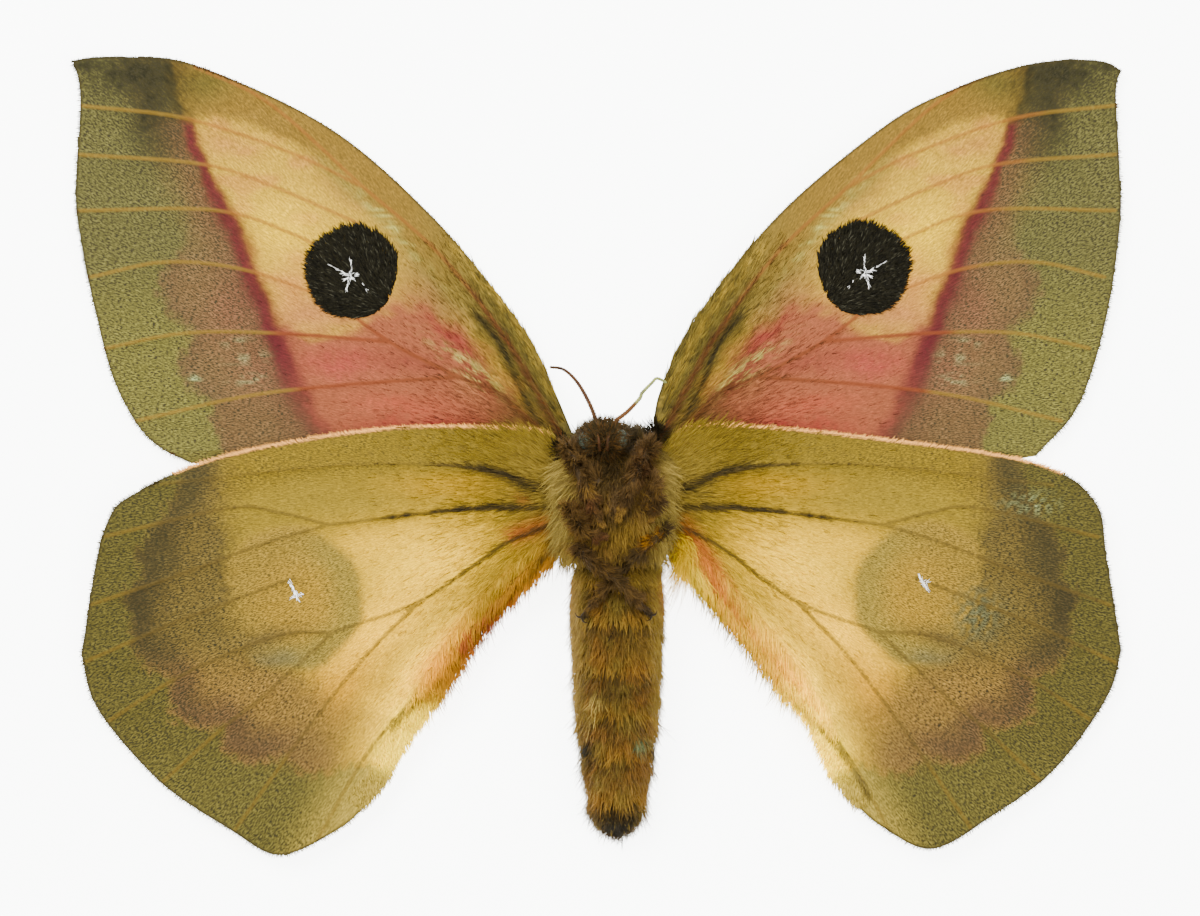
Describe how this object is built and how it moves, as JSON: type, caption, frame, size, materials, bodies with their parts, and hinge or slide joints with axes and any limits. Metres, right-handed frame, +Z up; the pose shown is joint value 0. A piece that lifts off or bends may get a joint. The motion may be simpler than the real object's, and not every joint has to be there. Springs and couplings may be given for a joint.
{
  "type": "moth",
  "caption": "Still life-size model of a large silk moth lying on its back, wings spread flat with the patterned underside up and legs folded over its chest.",
  "frame": {"origin": "on the midline, on the flat of the chest's back, under the middle of the chest", "axes": "+X to the moth's left along the wings, +Y towards the head, +Z up, out of the underside"},
  "size_m": [0.1197, 0.091, 0.0134],
  "materials": {
    "brown_fur": "matt fur",
    "leg_fur": "matt fur",
    "red_brown_horn": "satin",
    "eye": "satin",
    "forewing": "matt scales",
    "hindwing": "matt scales"
  },
  "bodies": {
    "root": {"thorax": "brown_fur", "abdomen": "brown_fur", "head": "brown_fur", "eye_left": "eye", "eye_right": "eye", "antenna_left": "red_brown_horn", "antenna_right": "red_brown_horn", "palp_left": "red_brown_horn", "palp_right": "red_brown_horn", "foreleg_left": "leg_fur", "foreleg_right": "leg_fur", "midleg_left": "leg_fur", "midleg_right": "leg_fur", "hindleg_left": "leg_fur", "hindleg_right": "leg_fur", "forewing_left": "forewing", "forewing_right": "forewing", "hindwing_left": "hindwing", "hindwing_right": "hindwing"}
  },
  "joints": []
}
